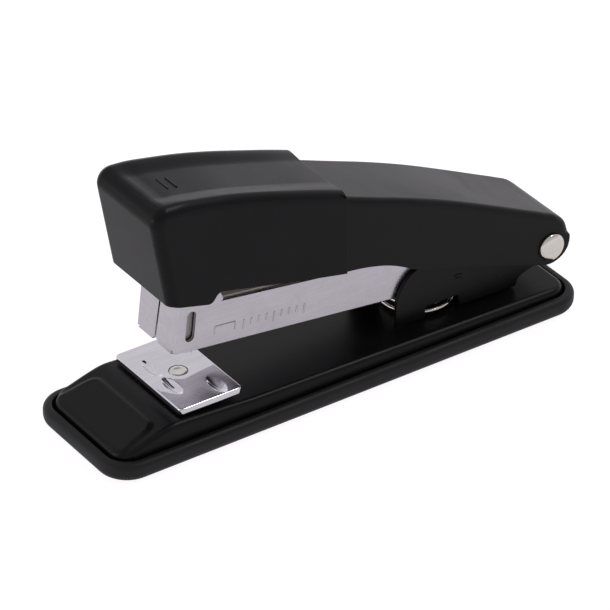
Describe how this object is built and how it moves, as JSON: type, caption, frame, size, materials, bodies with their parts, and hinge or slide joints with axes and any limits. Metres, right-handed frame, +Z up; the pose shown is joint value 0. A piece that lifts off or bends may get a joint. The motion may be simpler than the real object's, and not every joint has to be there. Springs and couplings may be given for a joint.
{
  "type": "stapler",
  "caption": "Half-strip desk stapler: weighted sole, turning anvil, sprung staple channel and a lifting handle with a moulded front cap.",
  "frame": {"origin": "centre of the sole's underside", "axes": "+X from the staple outlet towards the hinge, +Y across, +Z up"},
  "size_m": [0.1236, 0.0346, 0.06],
  "materials": {
    "soft_black": "soft satin moulding",
    "black_paint": "satin black paint",
    "black_plastic": "fine matt grain",
    "nickel": "satin nickel plate",
    "chrome": "mirror",
    "steel": "bare steel"
  },
  "bodies": {
    "base": {"base_pad": "soft_black", "base_plate": "black_paint", "hinge_bracket": "black_paint", "bracket_rivet_front": "steel", "bracket_rivet_rear": "steel", "lift_spring": "nickel", "anvil_spring": "steel", "hinge_pin": "nickel"},
    "anvil_group": {"anvil": "chrome", "anvil_stud": "nickel", "anvil_button": "steel"},
    "magazine": {"magazine_channel": "nickel", "staple_rail": "steel", "rail_cross_pin": "steel", "rod_block_front": "steel", "rod_block_rear": "steel", "guide_rod": "steel", "pusher_spring": "steel", "return_leaf": "steel", "leaf_rivet": "steel", "pivot_bush": "steel"},
    "pusher_group": {"pusher": "steel"},
    "handle": {"handle_shell": "black_paint", "front_cap": "black_plastic", "cap_screw_front": "steel", "cap_screw_rear": "steel", "driver_leaf": "steel", "driver_blade": "steel"}
  },
  "joints": [
    {"name": "magazine_hinge", "type": "hinge", "parent": "base", "child": "magazine", "pos_m": [0.05635, 0, 0.0147], "axis": [0, 1, 0], "range_deg": [-5.2, 0], "stiffness_Nm_per_rad": 2, "springref_deg": 5.16, "deforming": ["lift_spring"]},
    {"name": "handle_hinge", "type": "hinge", "parent": "magazine", "child": "handle", "pos_m": [0.05635, 0, 0.0147], "axis": [0, 1, 0], "range_deg": [-4.8, 70], "stiffness_Nm_per_rad": 0.5, "springref_deg": 2.86},
    {"name": "pusher_slide", "type": "slide", "parent": "magazine", "child": "pusher_group", "axis": [0.9933, 0, -0.1158], "range_m": [0, 0.052], "stiffness_N_per_m": 30, "springref_m": -0.05, "deforming": ["pusher_spring"]},
    {"name": "anvil_turn", "type": "hinge", "parent": "base", "child": "anvil_group", "pos_m": [-0.03505, 0, 0.00935], "axis": [0, 0, 1], "range_deg": [0, 180]}
  ]
}
